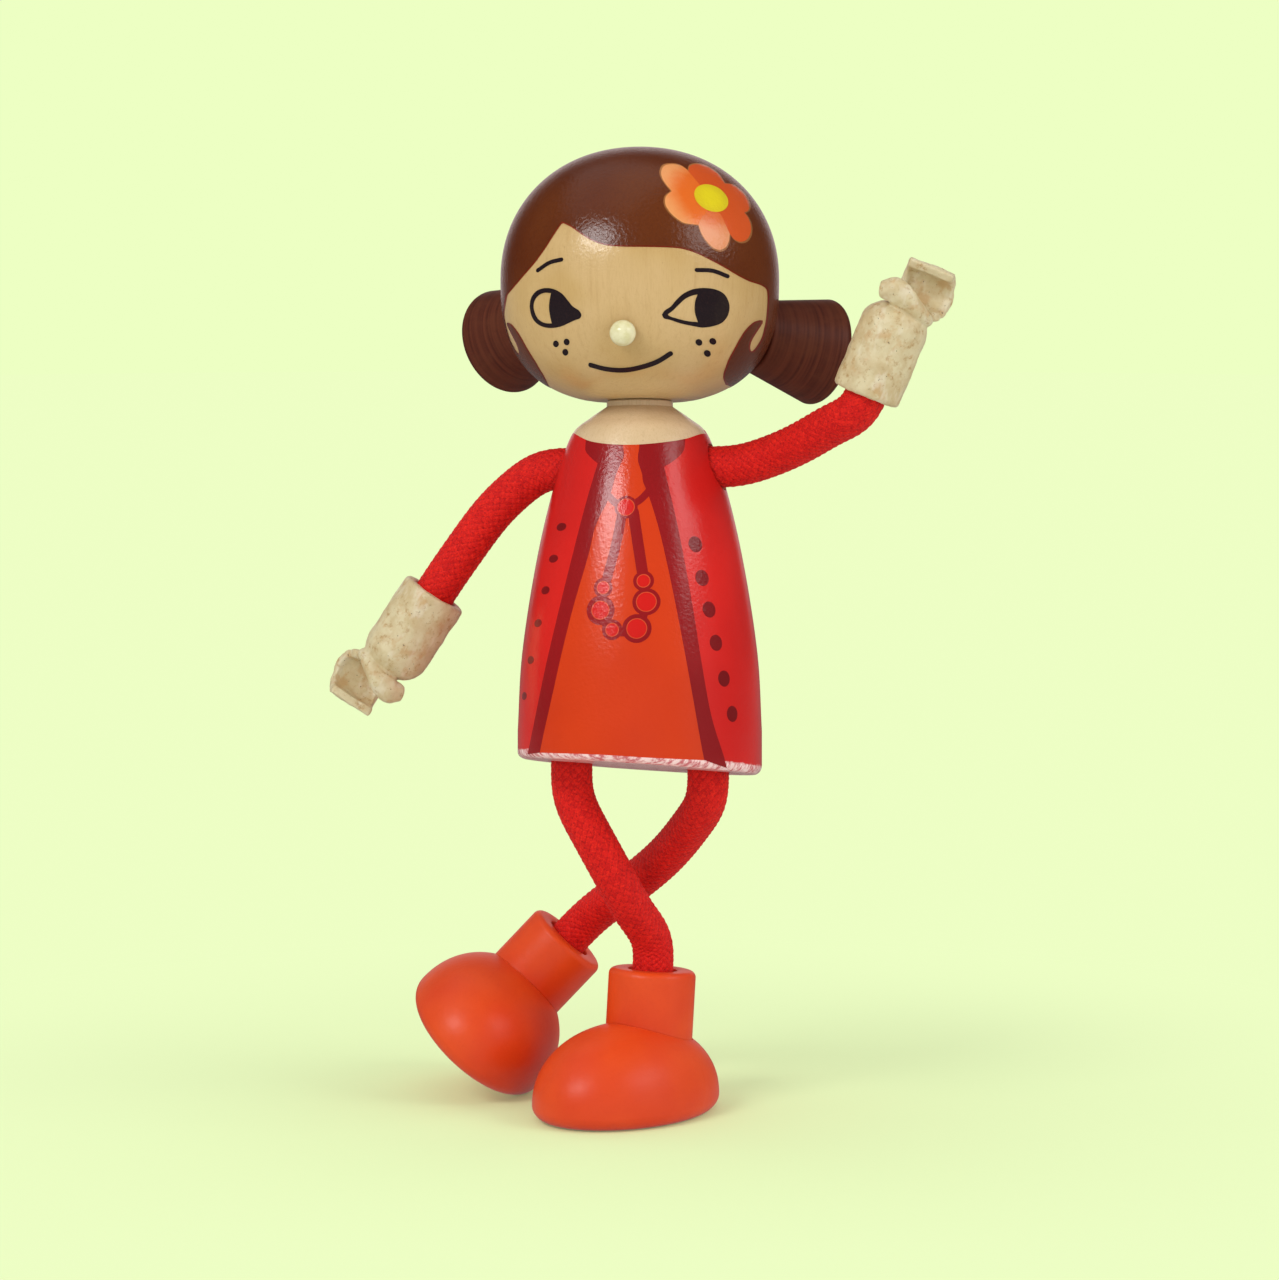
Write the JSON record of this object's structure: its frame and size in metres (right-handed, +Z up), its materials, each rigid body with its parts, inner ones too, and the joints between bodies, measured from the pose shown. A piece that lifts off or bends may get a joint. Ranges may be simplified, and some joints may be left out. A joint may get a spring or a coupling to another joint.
{
  "type": "bendy doll",
  "caption": "Posable doll with turned wooden head and body, braided cord limbs on bendable wires, moulded grip hands and round wooden shoes.",
  "frame": {"origin": "centre of the flat sole of the doll's right shoe, the one it stands on", "axes": "+Z up, the doll faces -Y, and its own left side, with the raised arm, is at +X"},
  "size_m": [0.0945, 0.0581, 0.1479],
  "materials": {
    "maple": "clear gloss lacquer over natural wood, brown painted hair",
    "dark_wood": "dark brown satin lacquer",
    "painted_body": "red and orange gloss paint, natural wood at the neck",
    "orange_lacquer": "orange-red gloss lacquer",
    "red_cord": "braided textile cord",
    "mottled_resin": "satin cream wood-fibre resin with ochre specks",
    "cream_resin": "gloss cream",
    "plain_dowel": "plain sanded wood",
    "soft_steel": "annealed wire"
  },
  "bodies": {
    "torso": {"torso": "painted_body", "neck_dowel": "plain_dowel", "left_arm_cord_shoulder": "red_cord", "right_arm_cord_shoulder": "red_cord", "left_leg_cord_hip": "red_cord", "right_leg_cord_hip": "red_cord", "left_arm_wire": "soft_steel", "right_arm_wire": "soft_steel", "left_leg_wire": "soft_steel", "right_leg_wire": "soft_steel"},
    "head": {"head": "maple", "nose_peg": "cream_resin", "left_hair_bunch": "dark_wood", "right_hair_bunch": "dark_wood", "left_bunch_dowel": "plain_dowel", "right_bunch_dowel": "plain_dowel"},
    "left_upper_arm": {"left_arm_cord_upper": "red_cord"},
    "left_forearm": {"left_arm_cord_fore": "red_cord"},
    "left_hand": {"left_arm_cord_wrist": "red_cord", "left_hand": "mottled_resin"},
    "right_upper_arm": {"right_arm_cord_upper": "red_cord"},
    "right_forearm": {"right_arm_cord_fore": "red_cord"},
    "right_hand": {"right_arm_cord_wrist": "red_cord", "right_hand": "mottled_resin"},
    "left_thigh": {"left_leg_cord_thigh": "red_cord"},
    "left_shin": {"left_leg_cord_shin": "red_cord"},
    "left_foot": {"left_leg_cord_ankle": "red_cord", "left_ankle_collar": "orange_lacquer", "left_foot": "orange_lacquer"},
    "right_thigh": {"right_leg_cord_thigh": "red_cord"},
    "right_shin": {"right_leg_cord_shin": "red_cord"},
    "right_foot": {"right_leg_cord_ankle": "red_cord", "right_ankle_collar": "orange_lacquer", "right_foot": "orange_lacquer"}
  },
  "joints": [
    {"name": "head_turn", "type": "hinge", "parent": "torso", "child": "head", "pos_m": [0.0021, 0.00264, 0.10887], "axis": [0, 0.1392, 0.9903], "continuous": true},
    {"name": "left_shoulder", "type": "hinge", "parent": "torso", "child": "left_upper_arm", "pos_m": [0.01662, -0.00179, 0.09949], "axis": [0, 1, 0], "range_deg": [-30, 75], "deforming": ["left_arm_wire"]},
    {"name": "left_elbow", "type": "hinge", "parent": "left_upper_arm", "child": "left_forearm", "pos_m": [0.0269, -0.0086, 0.1041], "axis": [0, -1, 0], "range_deg": [-70, 50]},
    {"name": "left_wrist", "type": "hinge", "parent": "left_forearm", "child": "left_hand", "pos_m": [0.03449, -0.0165, 0.10905], "axis": [0, 1, 0], "range_deg": [-35, 70]},
    {"name": "right_shoulder", "type": "hinge", "parent": "torso", "child": "right_upper_arm", "pos_m": [-0.01242, 0.00432, 0.09863], "axis": [0, 1, 0], "range_deg": [-15, 90], "deforming": ["right_arm_wire"]},
    {"name": "right_elbow", "type": "hinge", "parent": "right_upper_arm", "child": "right_forearm", "pos_m": [-0.0201, 0.0054, 0.0922], "axis": [0, -1, 0], "range_deg": [-70, 30]},
    {"name": "right_wrist", "type": "hinge", "parent": "right_forearm", "child": "right_hand", "pos_m": [-0.02749, 0.0065, 0.08193], "axis": [0, 1, 0], "range_deg": [-60, 60]},
    {"name": "left_hip", "type": "hinge", "parent": "torso", "child": "left_thigh", "pos_m": [0.01237, -0.00779, 0.05035], "axis": [1, 0, 0], "range_deg": [-10, 20], "deforming": ["left_leg_wire"]},
    {"name": "left_knee", "type": "hinge", "parent": "left_thigh", "child": "left_shin", "pos_m": [0.0058, 0.0069, 0.0385], "axis": [-1, 0, 0], "range_deg": [-75, 10]},
    {"name": "left_ankle", "type": "hinge", "parent": "left_shin", "child": "left_foot", "pos_m": [-0.0062, 0.02237, 0.02613], "axis": [1, 0, 0], "range_deg": [-50, 50]},
    {"name": "right_hip", "type": "hinge", "parent": "torso", "child": "right_thigh", "pos_m": [-0.00817, -0.00346, 0.04974], "axis": [1, 0, 0], "range_deg": [-50, 8], "deforming": ["right_leg_wire"]},
    {"name": "right_knee", "type": "hinge", "parent": "right_thigh", "child": "right_shin", "pos_m": [-0.0019, -0.0036, 0.0376], "axis": [-1, 0, 0], "range_deg": [-15, 60]},
    {"name": "right_ankle", "type": "hinge", "parent": "right_shin", "child": "right_foot", "pos_m": [0.00428, 0.00511, 0.02554], "axis": [0.766, -0.6428, 0], "range_deg": [-30, 50]}
  ]
}
